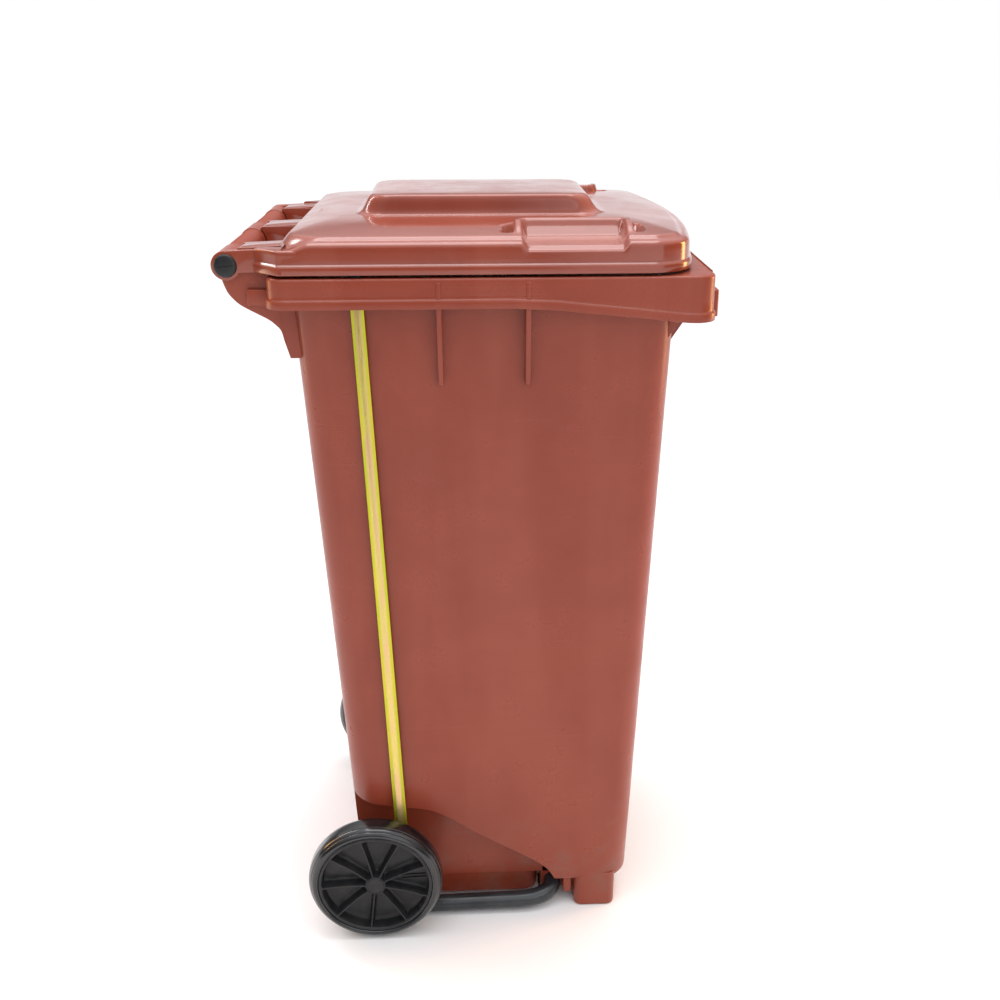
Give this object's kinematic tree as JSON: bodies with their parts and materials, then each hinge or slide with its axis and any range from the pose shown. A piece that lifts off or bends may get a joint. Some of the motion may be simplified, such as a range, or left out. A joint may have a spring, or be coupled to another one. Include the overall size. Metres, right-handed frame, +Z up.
{
  "type": "wheelie bin",
  "caption": "Tall tapered brown plastic waste bin with a hinged domed lid, a foot pedal that lifts it by side push rods, and rear wheels.",
  "frame": {"origin": "on the floor under the middle of the bounding box", "axes": "+X is the front, +Y the left side, +Z up"},
  "size_m": [0.5449, 0.48, 0.945],
  "materials": {
    "brown_plastic": "semi-gloss moulded polyethylene, reddish brown",
    "black_plastic": "satin moulded plastic",
    "tyre_rubber": "smooth solid rubber with a slight gloss",
    "black_rubber": "ribbed rubber",
    "dark_steel": "dark grey painted steel tube",
    "bright_steel": "bright zinc plated steel",
    "yellow_zinc": "yellow passivated zinc plated strip"
  },
  "bodies": {
    "bin": {"body": "brown_plastic", "axle": "bright_steel", "axle_clip_right": "bright_steel", "axle_clip_left": "bright_steel", "axle_spacer_right": "black_plastic", "axle_spacer_left": "black_plastic", "pivot_clamp_right": "dark_steel", "pivot_clamp_left": "dark_steel", "hinge_pin_right": "black_plastic", "hinge_pin_left": "black_plastic", "clamp_screw_1": "bright_steel", "clamp_screw_2": "bright_steel", "clamp_screw_3": "bright_steel", "clamp_screw_4": "bright_steel"},
    "lid": {"lid": "brown_plastic"},
    "lift_shoes": {"lift_shoe_right": "black_plastic", "lift_shoe_left": "black_plastic"},
    "wheel_right": {"wheel_right": "black_plastic", "tyre_right": "tyre_rubber", "hub_cap_right": "black_plastic"},
    "wheel_left": {"wheel_left": "black_plastic", "tyre_left": "tyre_rubber", "hub_cap_left": "black_plastic"},
    "pedal": {"pedal_frame": "dark_steel", "pedal_pad": "black_rubber", "rod_bolt_right": "bright_steel", "rod_bolt_left": "bright_steel", "rod_nut_right": "bright_steel", "rod_nut_left": "bright_steel"},
    "rod_right": {"push_rod_right": "yellow_zinc"},
    "rod_left": {"push_rod_left": "yellow_zinc"}
  },
  "joints": [
    {"name": "pedal_pivot", "type": "hinge", "parent": "bin", "child": "pedal", "pos_m": [0.101, 0, 0.027], "axis": [0, 1, 0], "range_deg": [0, 20]},
    {"name": "rod_right_pivot", "type": "hinge", "parent": "pedal", "child": "rod_right", "pos_m": [-0.0998, 0, 0.0135], "axis": [0, -1, 0], "range_deg": [0, 20.6]},
    {"name": "rod_left_pivot", "type": "hinge", "parent": "pedal", "child": "rod_left", "pos_m": [-0.0998, 0, 0.0135], "axis": [0, -1, 0], "range_deg": [0, 20.6]},
    {"name": "lid_lift", "type": "hinge", "parent": "bin", "child": "lift_shoes", "pos_m": [-0.257, 0, 0.8857], "axis": [0, -1, 0], "range_deg": [0, 29.1]},
    {"name": "lid_hinge", "type": "hinge", "parent": "lift_shoes", "child": "lid", "pos_m": [-0.257, 0, 0.8857], "axis": [0, -1, 0], "range_deg": [0, 228]},
    {"name": "wheel_right_spin", "type": "hinge", "parent": "bin", "child": "wheel_right", "pos_m": [-0.138, 0, 0.088], "axis": [0, 1, 0], "continuous": true},
    {"name": "wheel_left_spin", "type": "hinge", "parent": "bin", "child": "wheel_left", "pos_m": [-0.138, 0, 0.088], "axis": [0, 1, 0], "continuous": true}
  ],
  "couplings": [
    {"joint": "rod_right_pivot", "follows": "pedal_pivot", "ratio": 1.025},
    {"joint": "rod_left_pivot", "follows": "pedal_pivot", "ratio": 1.025},
    {"joint": "lid_lift", "follows": "pedal_pivot", "ratio": 1.45}
  ]
}
